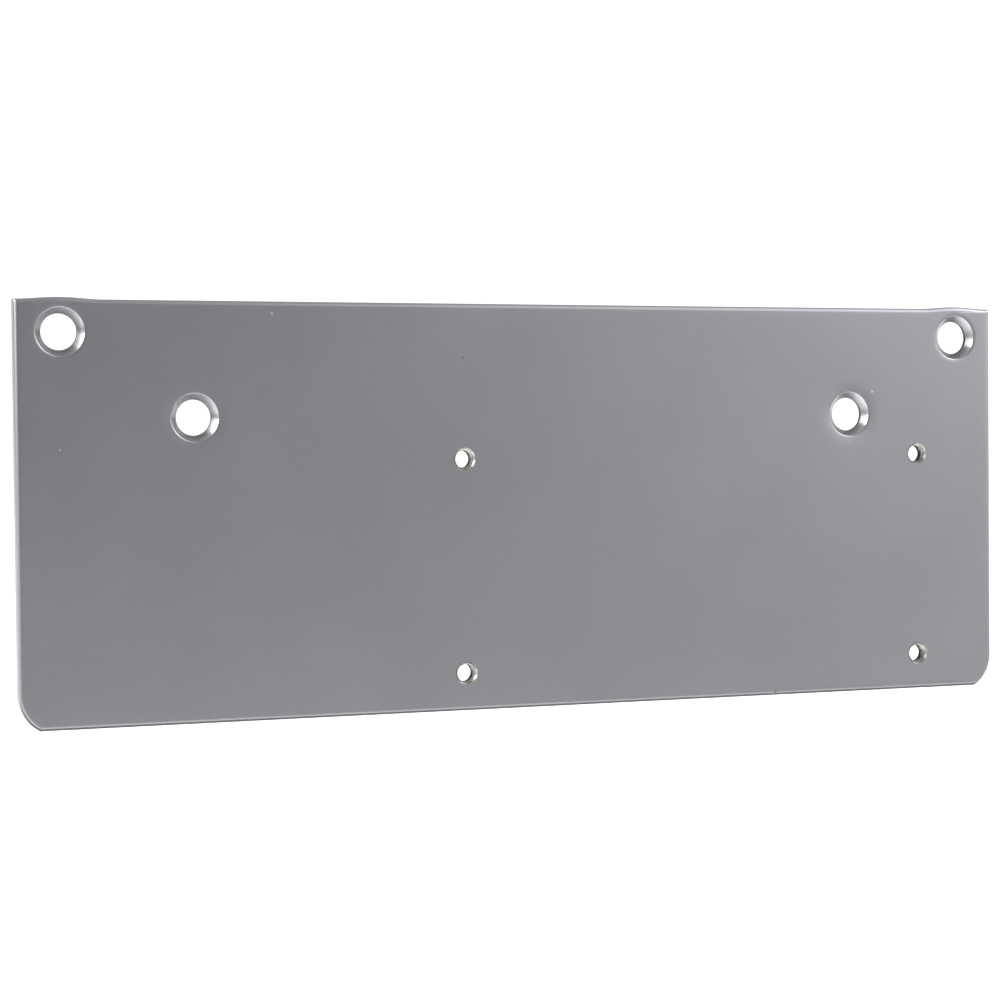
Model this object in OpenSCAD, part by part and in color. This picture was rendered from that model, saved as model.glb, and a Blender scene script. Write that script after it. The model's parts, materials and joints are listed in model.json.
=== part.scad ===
// Drop plate for a surface-mounted door closer.
// One flat steel plate: it is screwed to the door through four large countersunk holes,
// and the closer is screwed to it through four tapped holes.
// Length along X, front face towards -Y, top edge up. The origin is the middle of the back face.

/* [Plate] */
// Length of the plate
plate_w = 311.15; // [260:0.05:380]
// Height of the plate
plate_h = 120.65; // [100:0.05:150]
// Thickness of the steel
plate_t = 4.76; // [3.8:0.01:8]
// Radius of the two bottom corners (the top corners are square)
corner_r = 11.3; // [6.5:0.1:20]
// Height above the bottom edge at which a bottom corner leaves the plate's end. Less than the
// radius, so that the corner runs into the bottom edge with a slight kink.
corner_rise = 9.9; // [6:0.1:20]

/* [Sheared edge] */
// How far in from the edge the front face starts to roll over
roll_w = 1.6; // [0.6:0.1:2]
// How far the roll-over reaches down the side
roll_d = 1.0; // [0.4:0.1:1.6]
// How far the pressed countersinks push the top edge out
bulge_rise = 0.6; // [0.3:0.1:1.2]
// How far each bulge reaches to either side of its hole
bulge_reach = 12; // [8:0.5:16]

/* [Door screw holes] */
// Bore of the four large holes
door_bore_d = 10.3; // [8:0.1:12]
// Length of the straight bore below each countersink
door_land = 1.1; // [0.5:0.1:2]
// How much wider each large hole is at the back, all round, where the punch broke through
breakout_w = 0.6; // [0.2:0.1:1]
// Distance of the upper pair from the plate's ends
upper_in = 12.7; // [10:0.1:20]
// Distance of the upper pair below the top edge
upper_down = 9.1; // [8.5:0.1:14]
// Distance of the lower pair from the plate's ends
lower_in = 50.8; // [40:0.1:65]
// Distance of the lower pair below the top edge
lower_down = 33.3; // [27:0.1:42]

/* [Countersinks] */
// Width of the cone where it meets the lip
sink_d = 13.4; // [12.5:0.1:14]
// Included angle of the cone
sink_angle = 82; // [80:1:100]
// Width of the rolled lip round each cone
lip_d = 14.5; // [14.3:0.1:16]
// Depth of the lip
lip_depth = 0.35; // [0.1:0.05:0.6]

/* [Closer screw holes] */
// Spacing of the tapped holes along the plate
closer_pitch_x = 152.4; // [120:0.1:185]
// Spacing of the tapped holes up the plate
closer_pitch_z = 63.5; // [50:0.1:77]
// Distance of the right-hand column from the right end
closer_in = 26.95; // [18:0.05:34]
// Distance of the lower row above the bottom edge
closer_up = 11.15; // [9:0.05:16]
// Bore of the tapped holes, the minor diameter of a 1/4-20 thread
tap_bore_d = 5.1; // [4:0.1:6.3]
// Width of the chamfer at both ends of each tapped hole
tap_mouth_d = 6.7; // [6.5:0.1:8]

/* [Hidden] */
$fn = 96;

// Cutters run this far past a face
past = 1;

right = plate_w / 2;
top = plate_h / 2;
bottom = -top;

// A corner leaves the plate's end no higher than its own radius
corner_start = min(corner_rise, corner_r);

// Places of the holes on the face, as [x, z]
upper_holes = [for (side = [-1, 1]) [side * (right - upper_in), top - upper_down]];
lower_holes = [for (side = [-1, 1]) [side * (right - lower_in), top - lower_down]];
closer_holes = [
    for (column = [0, 1], row = [0, 1])
        [right - closer_in - column * closer_pitch_x, bottom + closer_up + row * closer_pitch_z]
];

// Each bulge is the cap of a circle that crosses the top edge bulge_reach to either side
bulge_r = (pow(bulge_reach, 2) + pow(bulge_rise, 2)) / (2 * bulge_rise);

// The roll-over is an arc, a little flatter than one that runs out smoothly into the face
roll_flatness = 1.1;
roll_chord = norm([roll_w, roll_d]);
roll_r = roll_flatness * pow(roll_chord, 2) / (2 * min(roll_w, roll_d));
roll_sag = sqrt(pow(roll_r, 2) - pow(roll_chord / 2, 2));

// Depth at which each cone reaches its bore
cone_depth = lip_depth + (sink_d - door_bore_d) / 2 / tan(sink_angle / 2);

// The straight bore takes at most half of the steel that is left below the cone
land = min(door_land, (plate_t - cone_depth) / 2);

// What the roll-over takes off: x runs inwards from the edge, y up to the front face at 0.
// Outside the edge it slopes back at 45 degrees, which faces off the front of a bulge.
module roll_section() {
    difference() {
        polygon([
            [0, -roll_d],
            [roll_w, -roll_d],
            [roll_w, past],
            [-past, past],
            [-past, -roll_d - past]
        ]);
        translate([roll_w / 2, -roll_d / 2] + roll_sag / roll_chord * [roll_d, -roll_w])
            circle(r = roll_r);
    }
}

// Straight cutter, from the origin along -Y, for an edge with the plate on its +X side
module roll_run(length) {
    translate([0, 0, plate_t])
        rotate([90, 0, 0])
            linear_extrude(height = length)
                roll_section();
}

// Cutter round the outside of a corner that is centred on the origin
module roll_turn(radius, from, sweep) {
    translate([0, 0, plate_t])
        rotate([0, 0, from])
            rotate_extrude(angle = sweep)
                translate([radius, 0])
                    mirror([1, 0])
                        roll_section();
}

// What the bottom left corner loses
module corner_waste() {
    difference() {
        translate([-right - past, bottom - past])
            square([past + corner_r, past + corner_start]);
        translate([-right + corner_r, bottom + corner_start])
            circle(r = corner_r);
    }
}

// Rectangle with its two bottom corners cut round
module blank() {
    difference() {
        translate([-right, bottom])
            square([plate_w, plate_h]);
        for (side = [0, 1])
            mirror([side, 0])
                corner_waste();
    }
}

// Steel pushed out past the top edge above an upper hole, as far as the plate's end
module bulge(x) {
    intersection() {
        translate([x, top + bulge_rise - bulge_r])
            circle(r = bulge_r);
        translate([x - bulge_reach, top - past])
            square([2 * bulge_reach, 2 * past + bulge_rise]);
        translate([-right, bottom])
            square([plate_w, 2 * plate_h]);
    }
}

// Large hole: breakout, bore, cone and rolled lip turned in one piece
module door_hole() {
    bore_end = plate_t - cone_depth - land;
    breakout_slope = breakout_w / bore_end;
    lip_slope = (lip_d - sink_d) / 2 / lip_depth;
    rotate_extrude()
        polygon([
            [0, -past],
            [door_bore_d / 2 + breakout_w + past * breakout_slope, -past],
            [door_bore_d / 2, bore_end],
            [door_bore_d / 2, plate_t - cone_depth],
            [sink_d / 2, plate_t - lip_depth],
            [lip_d / 2 + past * lip_slope, plate_t + past],
            [0, plate_t + past]
        ]);
}

// Tapped hole: bore at the thread's minor diameter, with a 45 degree chamfer at each face
module closer_hole() {
    chamfer = (tap_mouth_d - tap_bore_d) / 2;
    rotate_extrude()
        polygon([
            [0, -past],
            [tap_mouth_d / 2 + past, -past],
            [tap_bore_d / 2, chamfer],
            [tap_bore_d / 2, plate_t - chamfer],
            [tap_mouth_d / 2 + past, plate_t + past],
            [0, plate_t + past]
        ]);
}

// The cutters of the corners and of the bottom edge run on past the kink where they meet
module edge_roll() {
    for (side = [0, 1])
        mirror([side, 0, 0]) {
            translate([-right, top + 2 * past, 0])
                roll_run(2 * past + plate_h - corner_start);
            translate([-right + corner_r, bottom + corner_start, 0])
                roll_turn(corner_r, 180, 90);
        }
    translate([right + past, top, 0])
        rotate([0, 0, -90])
            roll_run(plate_w + 2 * past);
    translate([-right - past, bottom, 0])
        rotate([0, 0, 90])
            roll_run(plate_w + 2 * past);
}

// The plate lying on its back, front face up
module flat_plate() {
    difference() {
        linear_extrude(height = plate_t)
            union() {
                blank();
                for (hole = upper_holes)
                    bulge(hole[0]);
            }
        edge_roll();
        for (hole = concat(upper_holes, lower_holes))
            translate([hole[0], hole[1], 0])
                door_hole();
        for (hole = closer_holes)
            translate([hole[0], hole[1], 0])
                closer_hole();
    }
}

module drop_plate() {
    color([0.55, 0.55, 0.57])
        rotate([90, 0, 0])
            flat_plate();
}

drop_plate();
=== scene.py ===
"""Looks of a door closer's drop plate: one sheared, punched and tapped steel plate, sprayed aluminium grey.

The plate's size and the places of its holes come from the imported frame. Shapes are worked out in
millimetres and turned into metres as the last step. The front face looks towards -Y, +Z is up.
"""

from __future__ import annotations

import json
import logging
import math
from dataclasses import dataclass
from enum import Enum

import bmesh
import bpy
from mathutils import Matrix, Vector

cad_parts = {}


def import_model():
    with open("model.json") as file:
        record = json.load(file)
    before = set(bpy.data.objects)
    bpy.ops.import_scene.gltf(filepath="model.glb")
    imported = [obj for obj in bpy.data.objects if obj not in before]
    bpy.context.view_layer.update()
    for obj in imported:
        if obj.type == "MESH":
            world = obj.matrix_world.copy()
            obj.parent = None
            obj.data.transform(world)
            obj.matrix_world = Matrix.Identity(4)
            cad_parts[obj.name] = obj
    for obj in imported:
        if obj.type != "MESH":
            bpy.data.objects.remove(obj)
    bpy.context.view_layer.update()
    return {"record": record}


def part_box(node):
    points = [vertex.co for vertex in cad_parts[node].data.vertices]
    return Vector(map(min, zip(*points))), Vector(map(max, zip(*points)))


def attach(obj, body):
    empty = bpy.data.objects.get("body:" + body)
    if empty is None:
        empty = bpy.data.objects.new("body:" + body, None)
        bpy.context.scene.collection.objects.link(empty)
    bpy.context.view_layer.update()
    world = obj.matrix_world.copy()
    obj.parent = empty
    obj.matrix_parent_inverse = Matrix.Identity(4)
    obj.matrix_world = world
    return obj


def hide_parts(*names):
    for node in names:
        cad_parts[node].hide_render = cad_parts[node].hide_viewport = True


MM = 0.001
NODE = "drop_plate"
BODY = "root"
FULL_TURN = 2 * math.pi

# Points closer than this, in millimetres, count as one
TOUCHING = 1e-4
# Faces that meet at a sharper angle than this are shaded with a crease
CREASE = math.radians(28)

log = logging.getLogger("drop_plate")


class Shade(Enum):
    """The finishes on the plate, in the order of its material slots."""

    PAINT = 0
    PUNCHED_STEEL = 1
    TAPPED_STEEL = 2


class Signal:
    """One shader value, which adds its own Math nodes when it is used in an expression."""

    def __init__(self, board: Board, socket: bpy.types.NodeSocket) -> None:
        """Remembers the socket and the board that it is on."""
        self.board = board
        self.socket = socket

    def math(self, operation: str, *others: Signal | float) -> Signal:
        """Runs this value, and up to two more, through a Math node.

        Args:
            operation: The Math node's operation.
            others: The node's second and third inputs.

        Returns:
            The node's result.
        """
        values = dict(enumerate((self, *others)))
        return self.board.add("ShaderNodeMath", {"operation": operation}, values)[0]

    def __add__(self, other: Signal | float) -> Signal:
        """This value plus another."""
        return self.math("ADD", other)

    def __radd__(self, other: float) -> Signal:
        """A number plus this value."""
        return self.math("ADD", other)

    def __sub__(self, other: Signal | float) -> Signal:
        """This value less another."""
        return self.math("SUBTRACT", other)

    def __rsub__(self, other: float) -> Signal:
        """A number less this value."""
        return self.board.number(other).math("SUBTRACT", self)

    def __mul__(self, other: Signal | float) -> Signal:
        """This value times another."""
        return self.math("MULTIPLY", other)

    def __rmul__(self, other: float) -> Signal:
        """A number times this value."""
        return self.math("MULTIPLY", other)

    def ramp(self, low: float, high: float) -> Signal:
        """Turns this value into a smooth step.

        Args:
            low: The value at which the step is 0.
            high: The value at which the step is 1. It may be the lower of the two.

        Returns:
            The step, from 0 to 1.
        """
        settings = {"interpolation_type": "SMOOTHSTEP"}
        inputs = {"Value": self, "From Min": low, "From Max": high}
        return self.board.add("ShaderNodeMapRange", settings, inputs)["Result"]


class Outputs:
    """The outputs of one node, by name or number, as signals."""

    def __init__(self, board: Board, node: bpy.types.Node) -> None:
        """Remembers the node and the board that it is on."""
        self.board = board
        self.node = node

    def __getitem__(self, key: str | int) -> Signal:
        """The output of that name or number."""
        return Signal(self.board, self.node.outputs[key])


@dataclass
class Board:
    """A node tree that is being wired."""

    tree: bpy.types.NodeTree

    def add(self, kind: str, settings: dict | None = None, inputs: dict | None = None) -> Outputs:
        """Adds a node, sets it and wires it.

        Args:
            kind: The node's type.
            settings: The node's own settings, which are set first.
            inputs: Numbers, colours or signals for its inputs, by name or number.

        Returns:
            The node's outputs.
        """
        node = self.tree.nodes.new(kind)
        for name, value in (settings or {}).items():
            setattr(node, name, value)
        for key, value in (inputs or {}).items():
            if isinstance(value, Signal):
                self.tree.links.new(value.socket, node.inputs[key])
            else:
                node.inputs[key].default_value = value
        return Outputs(self, node)

    def number(self, value: float) -> Signal:
        """A plain number as a signal."""
        return self.add("ShaderNodeMath", {"operation": "ADD"}, {0: value, 1: 0.0})[0]

    def place(self) -> Signal:
        """The point on the object, in metres."""
        return self.add("ShaderNodeTexCoord")["Object"]

    def depth(self, place: Signal) -> Signal:
        """How far back a place is, along Y."""
        return self.add("ShaderNodeSeparateXYZ", None, {0: place})["Y"]

    def attribute(self, name: str) -> Signal:
        """A value painted on the mesh's points."""
        return self.add("ShaderNodeAttribute", {"attribute_name": name})["Fac"]

    def noise(self, place: Signal, size: float, detail: float = 2.0) -> Signal:
        """Smooth noise about 0.5.

        Args:
            place: Where it is read.
            size: Width of one patch, in millimetres.
            detail: How many finer layers are added.

        Returns:
            The noise, from 0 to 1.
        """
        inputs = {"Vector": place, "Scale": 1 / (size * MM), "Detail": detail}
        return self.add("ShaderNodeTexNoise", {"noise_dimensions": "3D"}, inputs)["Fac"]

    def stretch(self, place: Signal, scale: tuple[float, float, float]) -> Signal:
        """The place, scaled along each axis."""
        return self.add("ShaderNodeVectorMath", {"operation": "MULTIPLY"}, {0: place, 1: scale})[0]

    def blend(self, share: Signal, first: Signal | tuple, second: Signal | tuple) -> Signal:
        """Mixes two colours.

        Args:
            share: How much of the second colour is taken, from 0 to 1.
            first: The colour at 0.
            second: The colour at 1.

        Returns:
            The mixed colour.
        """
        sides = {6: rgba(first), 7: rgba(second), "Factor": share}
        return self.add("ShaderNodeMix", {"data_type": "RGBA"}, sides)[2]

    def bump(self, height: Signal, depth: float, onto: Signal | None = None) -> Signal:
        """A normal that follows a height.

        Args:
            height: The height, from 0 to 1.
            depth: What a height of 1 stands for, in millimetres.
            onto: The normal that this one is laid on.

        Returns:
            The bumped normal.
        """
        inputs: dict = {"Height": height, "Distance": depth * MM, "Strength": 1.0}
        if onto is not None:
            inputs["Normal"] = onto
        return self.add("ShaderNodeBump", None, inputs)["Normal"]


def rgba(colour: Signal | tuple) -> Signal | tuple:
    """A colour with its alpha added, where it has none."""
    return (*colour, 1.0) if isinstance(colour, tuple) and len(colour) == 3 else colour


def new_material(name: str) -> tuple[bpy.types.Material, Board]:
    """An empty node material.

    Args:
        name: The material's name.

    Returns:
        The material and the board for its nodes.
    """
    material = bpy.data.materials.new(name)
    material.use_nodes = True
    material.node_tree.nodes.clear()
    return material, Board(material.node_tree)


@dataclass(frozen=True)
class Nick:
    """A small chip in the paint of the front face: its place, its width in millimetres and its tone."""

    x: float
    z: float
    width: float
    brightness: float

    def mark(self, board: Board, place: Signal) -> Signal:
        """Where the chip is.

        Args:
            board: The board of the material.
            place: The point on the plate.

        Returns:
            1 in the chip's middle and 0 outside it.
        """
        centre = (self.x * MM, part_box(NODE)[0].y, self.z * MM)
        away = board.add("ShaderNodeVectorMath", {"operation": "DISTANCE"}, {0: place, 1: centre})["Value"]
        return away.ramp(self.width / 2 * MM, 0.0)


@dataclass(frozen=True)
class AluminiumPaint:
    """Satin aluminium paint, sprayed over bare steel and rubbed thin on the lips of the holes.

    Widths and depths are in millimetres. Shares say how much of a mixture is one thing. Mottle is
    the stretch of the mixed noise over which the dark tone turns into the light one. A draw scales a
    pattern along Y: below 1 it is drawn out, above 1 it is squeezed.
    """

    light: tuple[float, float, float] = (0.325, 0.321, 0.344)
    dark: tuple[float, float, float] = (0.300, 0.296, 0.318)
    rubbed: tuple[float, float, float] = (0.47, 0.46, 0.47)
    mottle: tuple[float, float] = (0.3, 0.7)
    metallic: float = 0.8
    roughness: float = 0.30
    cloud: float = 34.0
    cloud_share: float = 0.35
    cloud_roughness: float = 0.04
    peel: float = 2.4
    peel_depth: float = 0.010
    flake: float = 0.35
    flake_share: float = 0.65
    flake_roughness: float = 0.06
    flake_depth: float = 0.004
    wear: float = 1.6
    wear_share: float = 0.3
    wear_full: float = 0.8
    wear_polish: float = 0.06
    streak: float = 0.5
    streak_draw: float = 0.12
    streak_depth: float = 0.05
    nicks: tuple[Nick, ...] = (
        Nick(-143.3, 18.2, 1.0, 0.62),
        Nick(-82.0, 56.8, 1.3, 0.62),
        Nick(-24.1, 44.2, 1.1, 0.14),
        Nick(112.8, 34.0, 1.0, 0.80),
        Nick(78.1, -59.2, 1.4, 0.10),
    )

    def make(self) -> bpy.types.Material:
        """Builds the paint.

        Returns:
            The material.
        """
        material, board = new_material("aluminium_paint")
        place = board.place()
        cloud = board.noise(place, self.cloud, detail=3.0)
        flake = board.noise(place, self.flake, detail=1.0)
        tone = (cloud * self.cloud_share + flake * self.flake_share).ramp(*self.mottle)
        patchy = board.noise(place, self.wear, detail=2.0) * self.wear_share
        worn = (board.attribute("worn") - patchy).ramp(0.0, self.wear_full)
        colour = board.blend(worn, board.blend(tone, self.dark, self.light), self.rubbed)
        for nick in self.nicks:
            colour = board.blend(nick.mark(board, place), colour, (nick.brightness,) * 3)
        uneven = (cloud - 0.5) * self.cloud_roughness + (flake - 0.5) * self.flake_roughness
        shader = board.add(
            "ShaderNodeBsdfPrincipled",
            None,
            {
                "Base Color": colour,
                "Metallic": self.metallic,
                "Roughness": self.roughness + uneven - worn * self.wear_polish,
                "Normal": self.surface(board, place, flake),
            },
        )
        board.add("ShaderNodeOutputMaterial", None, {"Surface": shader["BSDF"]})
        return material

    def surface(self, board: Board, place: Signal, flake: Signal) -> Signal:
        """The relief of the paint film.

        Args:
            board: The board of the material.
            place: The point on the plate.
            flake: The flakes' noise.

        Returns:
            The normal with orange peel, flakes and, on sheared edges, the shear's streaks.
        """
        peel = board.bump(board.noise(place, self.peel, detail=1.5), self.peel_depth)
        grain = board.bump(flake, self.flake_depth, peel)
        along = board.stretch(place, (1.0, self.streak_draw, 1.0))
        streak = board.noise(along, self.streak, detail=3.0) * board.attribute("sheared")
        return board.bump(streak, self.streak_depth, grain)


@dataclass(frozen=True)
class BareSteel:
    """Cut steel inside a hole, clean at the front, with random oil stains, and darker further in, where
    painted shade deepens towards the back.

    Widths, depths and the places along Y where the painted shade starts and is full are in millimetres.
    """

    name: str
    clean: tuple[float, float, float]
    oiled_and_shaded: tuple[float, float, float]
    roughness: float
    stain: float = 1.3
    stain_edge: tuple[float, float] = (0.35, 0.65)
    stain_share: float = 0.4
    stain_roughness: float = 0.15
    scratch: float = 0.48
    scratch_draw: float = 4.0
    scratch_depth: float = 0.012
    deep_shade_from: float = -3.1
    deep_shade_to: float = -1.5

    def make(self) -> bpy.types.Material:
        """Builds the steel.

        Returns:
            The material.
        """
        material, board = new_material(self.name)
        place = board.place()
        stain = board.noise(place, self.stain, detail=3.0).ramp(*self.stain_edge)
        # Painted shade: the steel darkens with depth towards the back of the hole; the random stains mixed
        # in with it are oil.
        painted_deep_shade = board.depth(place).ramp(self.deep_shade_from * MM, self.deep_shade_to * MM)
        oil_and_shade = (stain * self.stain_share + painted_deep_shade).ramp(0.0, 1.0)
        across = board.stretch(place, (1.0, self.scratch_draw, 1.0))
        scratch = board.noise(across, self.scratch, detail=2.0)
        shader = board.add(
            "ShaderNodeBsdfPrincipled",
            None,
            {
                "Base Color": board.blend(oil_and_shade, self.clean, self.oiled_and_shaded),
                "Metallic": 1.0,
                "Roughness": self.roughness + stain * self.stain_roughness,
                "Normal": board.bump(scratch, self.scratch_depth),
            },
        )
        board.add("ShaderNodeOutputMaterial", None, {"Surface": shader["BSDF"]})
        return material


FINISHES = {
    Shade.PAINT: AluminiumPaint(),
    Shade.PUNCHED_STEEL: BareSteel(
        "punched_steel", clean=(0.16, 0.15, 0.155), oiled_and_shaded=(0.08, 0.075, 0.08), roughness=0.45
    ),
    Shade.TAPPED_STEEL: BareSteel(
        "tapped_steel", clean=(0.46, 0.445, 0.42), oiled_and_shaded=(0.06, 0.054, 0.05), roughness=0.28
    ),
}


@dataclass(frozen=True)
class FloorFinishAndPaintedGlow:
    """Matt pale studio floor with a painted glow of its own, behind the plate and close in front of it.

    The glow goes from far to near over the stretch called front, and from near to back over the
    stretch called under. Both run along Y, in metres.
    """

    colour: tuple[float, float, float] = (0.50, 0.50, 0.50)
    roughness: float = 0.9
    back_glow: float = 0.95
    near_glow: float = 1.60
    far_glow: float = 0.03
    front: tuple[float, float] = (-0.25, -0.07)
    under: tuple[float, float] = (-0.02, 0.03)

    def make(self) -> bpy.types.Material:
        """Builds the floor's finish.

        Returns:
            The material.
        """
        material, board = new_material("studio_white")
        depth = board.depth(board.place())
        # Painted light: the floor glows on its own, brightest close in front of the plate, a little dimmer
        # under and behind it, and nearly dark far in front.
        near = self.near_glow + depth.ramp(*self.under) * (self.back_glow - self.near_glow)
        glow = self.far_glow + depth.ramp(*self.front) * (near - self.far_glow)
        inputs = {
            "Base Color": rgba(self.colour),
            "Roughness": self.roughness,
            "Emission Color": board.add("ShaderNodeCombineXYZ", None, {0: glow, 1: glow, 2: glow})[0],
            "Emission Strength": 1.0,
        }
        shader = board.add("ShaderNodeBsdfPrincipled", None, inputs)
        board.add("ShaderNodeOutputMaterial", None, {"Surface": shader["BSDF"]})
        return material


@dataclass(frozen=True)
class PaintedShadeCardFinish:
    """Matt black card, seen only in the plate's reflections as painted shade."""

    colour: tuple[float, float, float] = (0.12, 0.12, 0.12)
    roughness: float = 0.9

    def make(self) -> bpy.types.Material:
        """Builds the card's finish.

        Returns:
            The material.
        """
        material, board = new_material("card_black")
        inputs = {"Base Color": rgba(self.colour), "Roughness": self.roughness}
        shader = board.add("ShaderNodeBsdfPrincipled", None, inputs)
        board.add("ShaderNodeOutputMaterial", None, {"Surface": shader["BSDF"]})
        return material


def quarter_round(inwards: float, width: float, depth: float) -> float:
    """Drop of a rounded edge.

    Args:
        inwards: Distance in from the edge.
        width: Distance at which the round runs out into the face.
        depth: Drop at the edge itself.

    Returns:
        The drop, from depth at the edge to 0 at width.
    """
    left = max(0.0, 1 - inwards / width)
    return depth * (1 - math.sqrt(max(0.0, 1 - left * left)))


def round_rows(width: float, count: int) -> list[float]:
    """Steps inwards, closer together near the edge, that share a rounded edge out evenly.

    Args:
        width: Distance over which the edge is round.
        count: Number of rows.

    Returns:
        The width of each row, from the edge inwards.
    """
    marks = [width * (1 - math.cos(math.pi / 2 * row / count)) for row in range(count + 1)]
    return [after - before for before, after in zip(marks, marks[1:])]


def step_along(start: tuple[float, float], end: tuple[float, float], share: float) -> tuple[float, float]:
    """The point that lies a share of the way from start to end."""
    return tuple(a + (b - a) * share for a, b in zip(start, end))


def edge_loops(bm: bmesh.types.BMesh, y: float) -> list[bmesh.types.BMEdge]:
    """The open edges that lie at one depth."""
    return [e for e in bm.edges if e.is_boundary and all(abs(v.co.y - y) < TOUCHING for v in e.verts)]


@dataclass
class RoundHole:
    """A hole through the plate, turned about an axis along Y.

    Depths run from the front face, at 0, to the back face, at thickness.
    """

    x: float
    z: float
    thickness: float
    bore_r: float
    segments: int = 96

    def profile(self) -> list[tuple[float, float]]:
        """The wall's outline as (radius, depth), from the front face to the back face."""
        raise NotImplementedError

    def turn(self, bm: bmesh.types.BMesh) -> None:
        """Spins the outline into a wall, open at both faces.

        Args:
            bm: The mesh that the wall is added to.
        """
        points = [bm.verts.new((self.x + radius, depth, self.z)) for radius, depth in self.profile()]
        edges = [bm.edges.new(pair) for pair in zip(points, points[1:])]
        bmesh.ops.spin(
            bm,
            geom=points + edges,
            cent=(self.x, 0, self.z),
            axis=(0, 1, 0),
            angle=FULL_TURN,
            steps=self.segments,
            use_merge=True,
        )

    def radius(self, point: Vector) -> float:
        """Distance of a point from the hole's axis."""
        return math.hypot(point.x - self.x, point.z - self.z)


@dataclass
class DoorHole(RoundHole):
    """Punched hole with a pressed countersink, a rolled lip and a shallow dish round it.

    The straight land below the cone tears out into a wider breakout, whose edge rounds into the back
    face. A narrow ring of that face goes with it. The dish goes out to the radius called reach.
    """

    sink_r: float = 6.7
    cone_half_angle: float = math.radians(41)
    lip_w: float = 0.55
    lip_depth: float = 0.35
    land: float = 1.1
    tear_depth: float = 0.35
    tear_share: float = 0.45
    breakout: float = 0.6
    edge: float = 0.2
    edge_round: float = 0.3
    back_ring: float = 0.6
    dish_depth: float = 0.10
    reach: float = 11.0
    dish_rings: int = 6
    lip_rings: int = 9
    cone_rings: int = 5

    @property
    def rim_r(self) -> float:
        """Radius at which the lip rolls off the face."""
        return self.sink_r + self.lip_w

    @property
    def cone_end(self) -> float:
        """Depth at which the cone meets the bore."""
        return self.lip_depth + (self.sink_r - self.bore_r) / math.tan(self.cone_half_angle)

    def lip(self) -> list[tuple[float, float]]:
        """The curve that rolls from the face into the cone.

        Returns:
            Its points as (radius, depth).
        """
        shares = [ring / self.lip_rings for ring in range(self.lip_rings + 1)]
        return [(self.sink_r + self.lip_w * (1 - share), self.lip_depth * share**2) for share in shares]

    def profile(self) -> list[tuple[float, float]]:
        """The face round the hole, lip, cone, straight land, breakout and the face behind.

        Returns:
            The wall's outline as (radius, depth).
        """
        lip = self.lip()
        outside = (self.reach, 0.0)
        flat = [step_along(outside, lip[0], ring / self.dish_rings) for ring in range(self.dish_rings)]
        foot = (self.bore_r, self.cone_end)
        cone = [step_along(lip[-1], foot, (ring + 1) / self.cone_rings) for ring in range(self.cone_rings)]
        land_end = self.cone_end + self.land
        wide = self.bore_r + self.breakout
        turned = self.edge * self.edge_round
        back = [
            (self.bore_r, land_end),
            (self.bore_r + self.breakout * self.tear_share, land_end + self.tear_depth),
            (wide, self.thickness - self.edge),
            (wide + turned, self.thickness - turned),
            (wide + self.edge, self.thickness),
            (wide + self.back_ring, self.thickness),
        ]
        return flat + lip + cone + back

    def dish(self, radius: float) -> float:
        """Depth of the dish that the press left in the face round the hole.

        Args:
            radius: Distance from the hole's axis.

        Returns:
            The dish's depth there.
        """
        share = (self.reach - max(self.rim_r, radius)) / (self.reach - self.rim_r)
        return self.dish_depth * max(0.0, share) ** 2

    def worn(self, radius: float, depth: float) -> float:
        """How far the paint is rubbed off. It is most on the lip and less down the cone.

        Args:
            radius: Distance from the hole's axis.
            depth: Depth below the front face.

        Returns:
            The wear, from 0 to 1.
        """
        if radius > self.sink_r + self.lip_w / 4 or depth > self.cone_end:
            return 0.0
        return 1.0 - depth / self.cone_end


@dataclass
class TappedHole(RoundHole):
    """Hole with a right-handed 60 degree thread, chamfered at both faces.

    Crest and root are the shares of the pitch that are flat. The face round the mouth has rings at
    the distances in collar, which keep its triangles small.
    """

    major_r: float = 3.175
    mouth_r: float = 3.4
    pitch: float = 1.27
    rows: int = 64
    crest: float = 0.25
    root: float = 0.125
    collar: tuple[float, ...] = (1.2, 0.5, 0.12)

    def profile(self) -> list[tuple[float, float]]:
        """The face round the hole, then a straight wall whose rows are cut into a thread later.

        Returns:
            The wall's outline as (radius, depth).
        """
        step = self.thickness / self.rows
        wall = [(self.mouth_r, row * step) for row in range(self.rows + 1)]
        outside = [(self.mouth_r + away, 0.0) for away in self.collar]
        behind = [(radius, self.thickness) for radius, _ in reversed(outside)]
        return outside + wall + behind

    def thread(self, angle: float, depth: float) -> float:
        """Radius of the thread.

        Args:
            angle: Angle round the axis, anticlockwise as seen from the front.
            depth: Depth below the front face.

        Returns:
            The wall's radius there.
        """
        turn = (depth / self.pitch + angle / FULL_TURN) % 1.0
        flank = (1 - self.crest - self.root) / 2
        if turn < self.crest:
            rise = 0.0
        elif turn < self.crest + flank:
            rise = (turn - self.crest) / flank
        elif turn < self.crest + flank + self.root:
            rise = 1.0
        else:
            rise = (1 - turn) / flank
        return self.bore_r + (self.major_r - self.bore_r) * rise

    def cut(self, point: Vector) -> None:
        """Moves a point of the wall to the thread or to the chamfer, whichever is wider.

        Args:
            point: The point, which is changed.
        """
        across = Vector((point.x - self.x, point.z - self.z))
        angle = math.atan2(across.y, across.x)
        edge = min(point.y, self.thickness - point.y)
        across *= max(self.thread(angle, point.y), self.mouth_r - edge) / across.length
        point.x = self.x + across.x
        point.z = self.z + across.y


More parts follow.
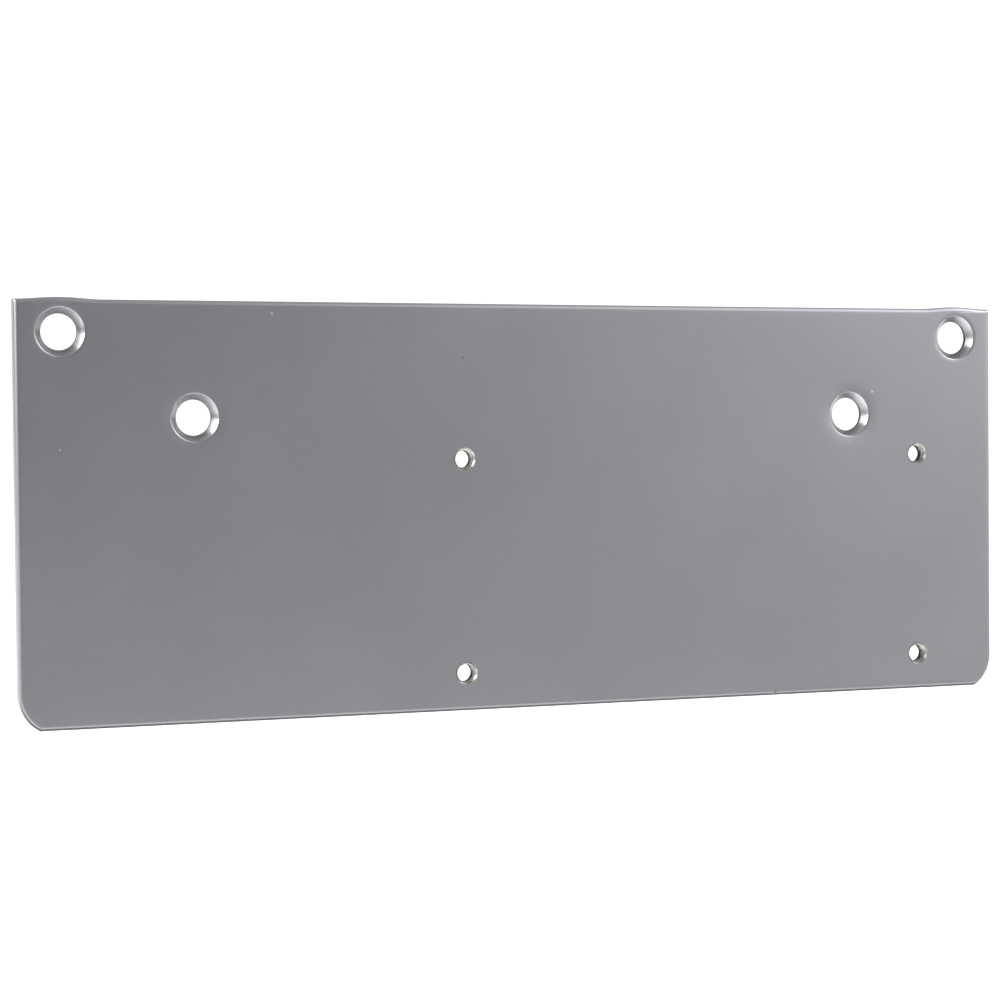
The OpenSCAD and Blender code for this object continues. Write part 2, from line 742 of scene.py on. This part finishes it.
@dataclass
class DropPlate:
    """The plate: a sheared blank with a rolled-over front edge, four door holes and four tapped holes.

    The front edge is a quarter round of roll_w by roll_d. Inside it the face slopes down a little,
    over shoulder_w. Each bottom corner leaves the plate's end at corner_rise.
    """

    length: float
    height: float
    thickness: float
    door_holes: list[DoorHole]
    tapped_holes: list[TappedHole]
    corner_r: float = 11.3
    corner_rise: float = 9.9
    roll_w: float = 1.3
    roll_d: float = 1.15
    shoulder_w: float = 3.0
    shoulder_d: float = 0.05
    back_break: float = 0.3
    bulge_rise: float = 0.6
    bulge_reach: float = 12.0
    point_spacing: float = 1.0
    corner_steps: int = 18
    roll_rows: int = 10
    back_rows: int = 4
    shoulder_rows: int = 7

    @classmethod
    def from_frame(cls, record: dict) -> DropPlate:
        """Reads the plate's size and its holes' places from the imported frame.

        Args:
            record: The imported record.

        Returns:
            The plate.
        """
        low, high = (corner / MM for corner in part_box(NODE))
        thickness = high.y - low.y
        mounts = {mount["name"]: mount for mount in record["mounts"]}

        def centres(name: str) -> list[tuple[float, float]]:
            """Finds the holes of one mount, which come in pairs or in two rows.

            Args:
                name: The mount's name.

            Returns:
                Their places as (x, z).
            """
            mount = mounts[name]
            middle = Vector(mount["pos_m"]) / MM
            wide = mount["dims"].get("spacing_x_mm", 0) / 2
            tall = mount["dims"].get("spacing_y_mm", 0) / 2
            ends = (-1, 1) if tall else (1,)
            return [(middle.x + side * wide, middle.z + end * tall) for side in (-1, 1) for end in ends]

        door_r = mounts["upper_door_screws"]["dims"]["hole_r_mm"]
        tap_r = mounts["closer_screws"]["dims"]["hole_r_mm"]
        upper = [
            DoorHole(x, z, thickness, door_r, dish_depth=0.04, reach=8.2)
            for x, z in centres("upper_door_screws")
        ]
        lower = [DoorHole(x, z, thickness, door_r) for x, z in centres("lower_door_screws")]
        tapped = [TappedHole(x, z, thickness, tap_r) for x, z in centres("closer_screws")]
        return cls(high.x - low.x, 2 * abs(low.z), thickness, upper + lower, tapped)

    @property
    def bulged(self) -> list[DoorHole]:
        """The two upper holes, which push the top edge out."""
        top = max(hole.z for hole in self.door_holes)
        return [hole for hole in self.door_holes if hole.z > top - TOUCHING]

    def top_rise(self, x: float) -> float:
        """How far the top edge stands above its straight line.

        Args:
            x: Place along the edge.

        Returns:
            The rise there.
        """
        rise = 0.0
        for hole in self.bulged:
            away = min(1.0, abs(x - hole.x) / self.bulge_reach)
            rise += self.bulge_rise * (1 - away * away) ** 2
        return rise

    def inwards(self, point: Vector) -> float:
        """Distance in from the nearest edge of the plate.

        Args:
            point: A point on the plate.

        Returns:
            The distance, measured in the plane of the face.
        """
        side = self.length / 2 - abs(point.x)
        foot = point.z + self.height / 2
        head = self.height / 2 + self.top_rise(point.x) - point.z
        if side < self.corner_r and foot < self.corner_rise:
            side = self.corner_r - math.hypot(self.corner_r - side, self.corner_rise - foot)
        return min(side, foot, head)

    def front_drop(self, point: Vector) -> float:
        """Drop of the front face at the rolled edge, the shoulder and the dishes.

        Args:
            point: A point on the plate.

        Returns:
            How far the face lies there below its middle.
        """
        inwards = max(0.0, self.inwards(point))
        slack = max(0.0, 1 - inwards / self.shoulder_w)
        drop = quarter_round(inwards, self.roll_w, self.roll_d) + self.shoulder_d * slack * slack
        for hole in self.door_holes:
            drop += hole.dish(hole.radius(point))
        return drop

    def outline(self) -> list[tuple[float, float]]:
        """The blank's outline, before the upper holes push the top edge out.

        Returns:
            Its corners as (x, z), with each bottom corner drawn as an arc.
        """
        right, top = self.length / 2, self.height / 2
        sweep = math.asin(self.corner_rise / self.corner_r)
        turns = [sweep * step / self.corner_steps for step in range(self.corner_steps + 1)]
        side = [
            (
                right - self.corner_r * (1 - math.cos(turn)),
                self.corner_rise - self.corner_r * math.sin(turn) - top,
            )
            for turn in turns
        ]
        return [(-right, top), (right, top), *side, *((-x, z) for x, z in reversed(side))]

    def blank(self, bm: bmesh.types.BMesh) -> None:
        """Draws the outline on the front face and extrudes it to the back.

        Args:
            bm: The empty mesh.
        """
        top = self.height / 2
        bm.faces.new([bm.verts.new((x, 0, z)) for x, z in self.outline()])
        for edge in list(bm.edges):
            cuts = round(edge.calc_length() / self.point_spacing) - 1
            if cuts > 0:
                bmesh.ops.subdivide_edges(bm, edges=[edge], cuts=cuts)
        for vert in bm.verts:
            if vert.co.z > top - TOUCHING:
                vert.co.z += self.top_rise(vert.co.x)
        made = bmesh.ops.extrude_face_region(bm, geom=list(bm.faces), use_keep_orig=True)
        moved = [item for item in made["geom"] if isinstance(item, bmesh.types.BMVert)]
        bmesh.ops.translate(bm, verts=moved, vec=(0, self.thickness, 0))

    def rim(self, bm: bmesh.types.BMesh, depth: float, rows: list[float]) -> None:
        """Rings one face with rows of quads and opens its middle.

        Args:
            bm: The mesh.
            depth: Depth of the face.
            rows: The width of each row, from the edge inwards.
        """
        face = max(
            (f for f in bm.faces if all(abs(v.co.y - depth) < TOUCHING for v in f.verts)),
            key=lambda f: f.calc_area(),
        )
        for row in rows:
            bmesh.ops.inset_region(bm, faces=[face], thickness=row, use_even_offset=True, use_boundary=True)
        bmesh.ops.delete(bm, geom=[face], context="FACES_ONLY")

    def fill(self, bm: bmesh.types.BMesh, depth: float, normal: tuple[float, float, float]) -> None:
        """Fills the face at one depth, which looks along the normal, between its rim and the holes."""
        bmesh.ops.triangle_fill(bm, use_beauty=True, edges=edge_loops(bm, depth), normal=normal)

    def rule(self, bm: bmesh.types.BMesh) -> None:
        """Cuts rows into the flat front, parallel to the edges, that the soft shoulder needs.

        Args:
            bm: The mesh, still flat.
        """
        front = [f for f in bm.faces if all(abs(v.co.y) < TOUCHING for v in f.verts)]
        pool = list({item for f in front for item in (f, *f.edges, *f.verts)})
        for row in range(1, self.shoulder_rows + 1):
            inset = self.roll_w + (self.shoulder_w - self.roll_w) * row / self.shoulder_rows
            for normal in ((1, 0, 0), (-1, 0, 0), (0, 0, 1), (0, 0, -1)):
                half = self.length / 2 if normal[0] else self.height / 2
                spot = Vector(normal) * (half - inset)
                cut = bmesh.ops.bisect_plane(bm, geom=pool, dist=TOUCHING, plane_co=spot, plane_no=normal)
                pool = cut["geom"]

    def mesh(self) -> bmesh.types.BMesh:
        """Builds the plate in millimetres, with its front face at a depth of 0.

        Returns:
            The mesh, closed and smooth, with its wear and shear painted on its points.
        """
        bm = bmesh.new()
        self.blank(bm)
        self.rim(bm, 0.0, round_rows(self.roll_w, self.roll_rows))
        self.rim(bm, self.thickness, [*round_rows(self.back_break, self.back_rows), self.back_break])
        for hole in (*self.door_holes, *self.tapped_holes):
            hole.turn(bm)
        self.fill(bm, 0.0, (0, -1, 0))
        self.fill(bm, self.thickness, (0, 1, 0))
        self.rule(bm)
        bmesh.ops.triangulate(bm, faces=[f for f in bm.faces if len(f.verts) > 4])
        bmesh.ops.remove_doubles(bm, verts=list(bm.verts), dist=TOUCHING)
        bmesh.ops.recalc_face_normals(bm, faces=list(bm.faces))
        self.mark(bm)
        self.press(bm)
        self.crease(bm)
        return bm

    def mark(self, bm: bmesh.types.BMesh) -> None:
        """Paints wear and shear on the points, cuts the threads and bares the steel in the holes.

        Args:
            bm: The mesh, still flat.
        """
        worn = bm.verts.layers.float.new("worn")
        sheared = bm.verts.layers.float.new("sheared")
        for vert in bm.verts:
            vert[sheared] = 1.0 if abs(self.inwards(vert.co)) < TOUCHING else 0.0
            for hole in self.door_holes:
                if hole.radius(vert.co) < hole.reach:
                    vert[worn] = hole.worn(hole.radius(vert.co), vert.co.y)
        for face in bm.faces:
            middle = face.calc_center_median()
            for hole in self.door_holes:
                if hole.radius(middle) < hole.bore_r + hole.breakout and middle.y > hole.cone_end:
                    face.material_index = Shade.PUNCHED_STEEL.value
        for hole in self.tapped_holes:
            wall = [v for v in bm.verts if hole.radius(v.co) < hole.mouth_r + TOUCHING]
            for vert in wall:
                hole.cut(vert.co)
            inside = set(wall)
            for face in {f for v in wall for f in v.link_faces}:
                if all(v in inside for v in face.verts):
                    face.material_index = Shade.TAPPED_STEEL.value

    def press(self, bm: bmesh.types.BMesh) -> None:
        """Presses the flat faces into their rolled, shouldered and dished shape.

        Args:
            bm: The mesh, still flat.
        """
        for vert in bm.verts:
            share = vert.co.y / self.thickness
            back = quarter_round(max(0.0, self.inwards(vert.co)), self.back_break, self.back_break)
            vert.co.y += self.front_drop(vert.co) * (1 - share) - back * share

    def crease(self, bm: bmesh.types.BMesh) -> None:
        """Shades the plate smooth, but for its true corners.

        Args:
            bm: The mesh in its final shape.
        """
        for face in bm.faces:
            face.smooth = True
        for edge in bm.edges:
            edge.smooth = len(edge.link_faces) != 2 or edge.calc_face_angle(0.0) < CREASE

    def build(self) -> bpy.types.Object:
        """Makes the plate's object, in place of the plain node.

        Returns:
            The object, in metres.
        """
        bm = self.mesh()
        bmesh.ops.translate(bm, verts=list(bm.verts), vec=(0, -self.thickness, 0))
        bmesh.ops.scale(bm, verts=list(bm.verts), vec=(MM, MM, MM))
        data = bpy.data.meshes.new("painted_plate")
        bm.to_mesh(data)
        bm.free()
        plate = bpy.data.objects.new("painted_plate", data)
        bpy.context.scene.collection.objects.link(plate)
        for shade in Shade:
            data.materials.append(FINISHES[shade].make())
        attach(plate, BODY)
        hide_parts(NODE)
        return plate


@dataclass(frozen=True)
class Softbox:
    """A square white studio light that looks at the plate. Lengths are in metres, power in watts."""

    name: str
    place: tuple[float, float, float]
    size: float
    power: float

    def hang(self) -> None:
        """Puts the light in the studio, out of the camera's sight."""
        lamp = bpy.data.lights.new(self.name, "AREA")
        lamp.size = self.size
        lamp.energy = self.power
        holder = bpy.data.objects.new(self.name, lamp)
        holder.location = self.place
        holder.rotation_euler = Vector(self.place).to_track_quat("Z", "Y").to_euler()
        holder.visible_camera = False
        bpy.context.scene.collection.objects.link(holder)


@dataclass(frozen=True)
class Glow:
    """A round patch of light in the surround, which fades out between two angles, in degrees."""

    toward: tuple[float, float, float]
    inner: float
    outer: float
    strength: float

    def light(self, board: Board, way: Signal) -> Signal:
        """How bright the patch is in one direction.

        Args:
            board: The board of the surround.
            way: The direction.

        Returns:
            The brightness.
        """
        sides = {0: way, 1: tuple(Vector(self.toward).normalized())}
        along = board.add("ShaderNodeVectorMath", {"operation": "DOT_PRODUCT"}, sides)["Value"]
        edge, full = (math.cos(math.radians(angle)) for angle in (self.outer, self.inner))
        return along.ramp(edge, full) * self.strength


@dataclass(frozen=True)
class Studio:
    """Pale floor with a painted glow and a dark card over it, surround with soft patches of light, and
    softboxes.

    The card lies close under the plate, out of the camera's sight, so that the bottom edge mirrors it as
    painted shade. Lengths are in metres.
    """

    floor_gap: float = 0.10
    floor_r: float = 6.0
    dim: float = 0.18
    glows: tuple[Glow, ...] = (
        Glow((0.35, 0.94, 0.0), 25, 50, 0.95),
        Glow((-1.0, 0.0, 0.0), 20, 62, 0.65),
        Glow((0.90, -0.40, 0.0), 10, 70, 0.25),
        Glow((0.71, -0.60, 0.40), 8, 36, 2.15),
        Glow((0.80, -0.15, 0.58), 5, 38, 1.7),
        Glow((0.0, 0.0, 1.0), 10, 60, 0.40),
    )
    softboxes: tuple[Softbox, ...] = (
        Softbox("left_softbox", (-0.95, -0.09, 0.51), 0.76, 13.0),
        Softbox("right_softbox", (0.91, -0.41, 0.66), 0.45, 2.6),
    )
    card_gap: float = 0.010
    card_low: tuple[float, float] = (-0.24, -0.012)
    card_high: tuple[float, float] = (0.24, 0.018)

    def build(self) -> None:
        """Lays the floor and the card, wires the surround and hangs the lights."""
        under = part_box(NODE)[0].z
        level = under - self.floor_gap
        floor = self.sheet("floor", (-self.floor_r, -self.floor_r), (self.floor_r, self.floor_r), level)
        floor.data.materials.append(FloorFinishAndPaintedGlow().make())
        # Painted shade: a dark card under the plate, hidden from the camera, from shadows and from diffuse
        # light, which the plate's bottom edge mirrors as a dark line.
        card = self.sheet("dark_card", self.card_low, self.card_high, under - self.card_gap)
        card.data.materials.append(PaintedShadeCardFinish().make())
        card.visible_camera = False
        card.visible_shadow = False
        card.visible_diffuse = False
        self.surround()
        for softbox in self.softboxes:
            softbox.hang()
        bpy.context.scene.view_settings.view_transform = "Standard"

    def sheet(self, name: str, low: tuple, high: tuple, level: float) -> bpy.types.Object:
        """Lays a flat rectangle in the studio.

        Args:
            name: The object's name.
            low: Its left front corner as (x, y).
            high: Its right back corner as (x, y).
            level: Its height.

        Returns:
            The object.
        """
        bm = bmesh.new()
        bmesh.ops.create_grid(bm, x_segments=1, y_segments=1, size=0.5)
        bmesh.ops.scale(bm, verts=list(bm.verts), vec=(high[0] - low[0], high[1] - low[1], 1))
        middle = ((low[0] + high[0]) / 2, (low[1] + high[1]) / 2, level)
        bmesh.ops.translate(bm, verts=list(bm.verts), vec=middle)
        data = bpy.data.meshes.new(name)
        bm.to_mesh(data)
        bm.free()
        sheet = bpy.data.objects.new(name, data)
        bpy.context.scene.collection.objects.link(sheet)
        return sheet

    def surround(self) -> None:
        """Wires a dim surround with the patches of light on it."""
        world = bpy.data.worlds.new("studio")
        bpy.context.scene.world = world
        world.use_nodes = True
        world.node_tree.nodes.clear()
        board = Board(world.node_tree)
        way = board.add("ShaderNodeTexCoord")["Generated"]
        light = board.number(self.dim)
        for glow in self.glows:
            light = light + glow.light(board, way)
        white = rgba((1.0, 1.0, 1.0))
        shader = board.add("ShaderNodeBackground", None, {"Color": white, "Strength": light})
        board.add("ShaderNodeOutputWorld", None, {"Surface": shader["Background"]})


@dataclass(frozen=True)
class Viewpoint:
    """The camera: where it looks, from which side and how far away.

    Angles are in degrees and lengths in metres, but for the lens and its sensor, in millimetres.
    """

    aim: tuple[float, float, float] = (-0.0127, -0.0048, 0.0020)
    azimuth: float = 20.312
    rise: float = 1.291
    roll: float = 0.574
    distance: float = 0.7215
    lens: float = 87.26
    sensor: float = 36.0
    clip_start: float = 0.01

    def build(self) -> None:
        """Makes the camera and looks through it."""
        camera = bpy.data.cameras.new("camera")
        camera.lens = self.lens
        camera.sensor_width = self.sensor
        camera.clip_start = self.clip_start
        holder = bpy.data.objects.new("camera", camera)
        turn = Matrix.Rotation(math.radians(-self.azimuth), 4, "Z")
        tilt = Matrix.Rotation(math.radians(90 - self.rise), 4, "X")
        roll = Matrix.Rotation(math.radians(-self.roll), 4, "Z")
        back = Matrix.Translation((0, 0, self.distance))
        holder.matrix_world = Matrix.Translation(self.aim) @ turn @ tilt @ roll @ back
        bpy.context.scene.collection.objects.link(holder)
        bpy.context.scene.camera = holder


def main() -> None:
    """Builds the studio and the plate."""
    logging.basicConfig(level=logging.INFO, format="%(message)s")
    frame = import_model()
    Viewpoint().build()
    Studio().build()
    plate = DropPlate.from_frame(frame["record"]).build()
    log.info("%s: %d faces", plate.name, len(plate.data.polygons))


if __name__ == "__main__":
    main()
